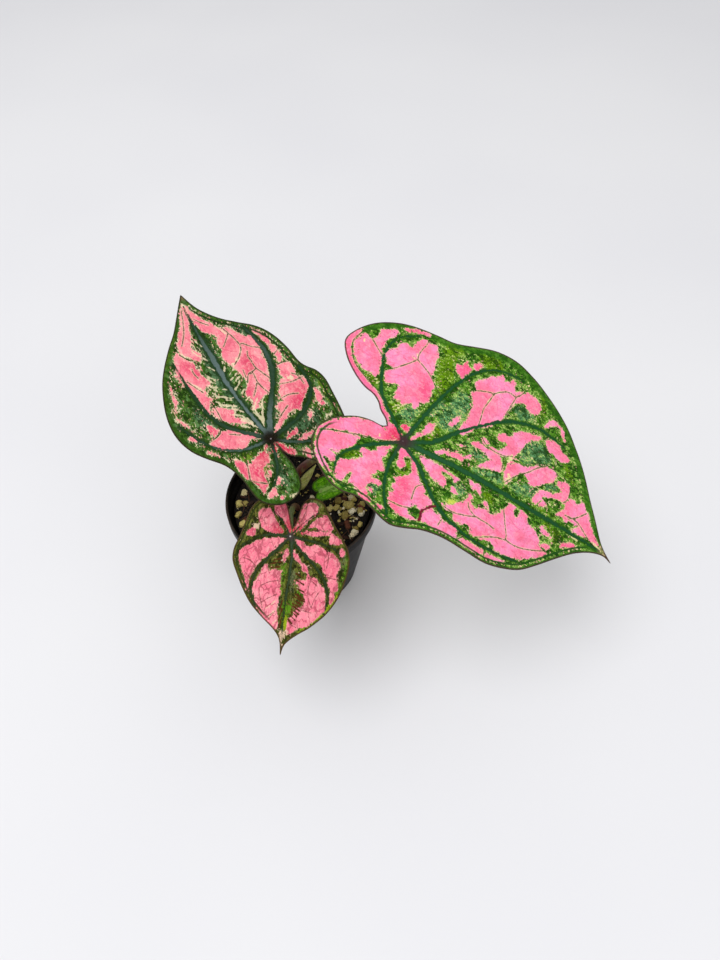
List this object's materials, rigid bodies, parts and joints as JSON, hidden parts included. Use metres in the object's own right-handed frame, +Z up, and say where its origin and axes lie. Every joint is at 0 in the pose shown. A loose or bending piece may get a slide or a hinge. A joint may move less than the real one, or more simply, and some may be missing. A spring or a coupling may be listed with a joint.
{
  "type": "potted caladium",
  "caption": "Small caladium in a thin tapered nursery pot: thin heart-shaped waved leaves on slender arching petioles, rising from a tuber in bark-rich soil.",
  "frame": {"origin": "centre of the pot's flat base, on the surface that it stands on", "axes": "+Z up along the pot's axis; +X towards the side on which the largest leaf spreads; -Y towards the side on which the smallest variegated leaf hangs over the rim"},
  "size_m": [0.1641, 0.1383, 0.1198],
  "materials": {
    "pot": "satin",
    "soil": "matte",
    "tuber": "matte",
    "spear": "satin",
    "leaf": "satin",
    "young_leaf": "satin"
  },
  "bodies": {
    "root": {"pot": "pot", "soil": "soil", "tuber": "tuber", "spear": "spear", "leaf_right": "leaf", "leaf_left": "leaf", "leaf_front": "leaf", "leaf_young": "young_leaf"}
  },
  "joints": []
}
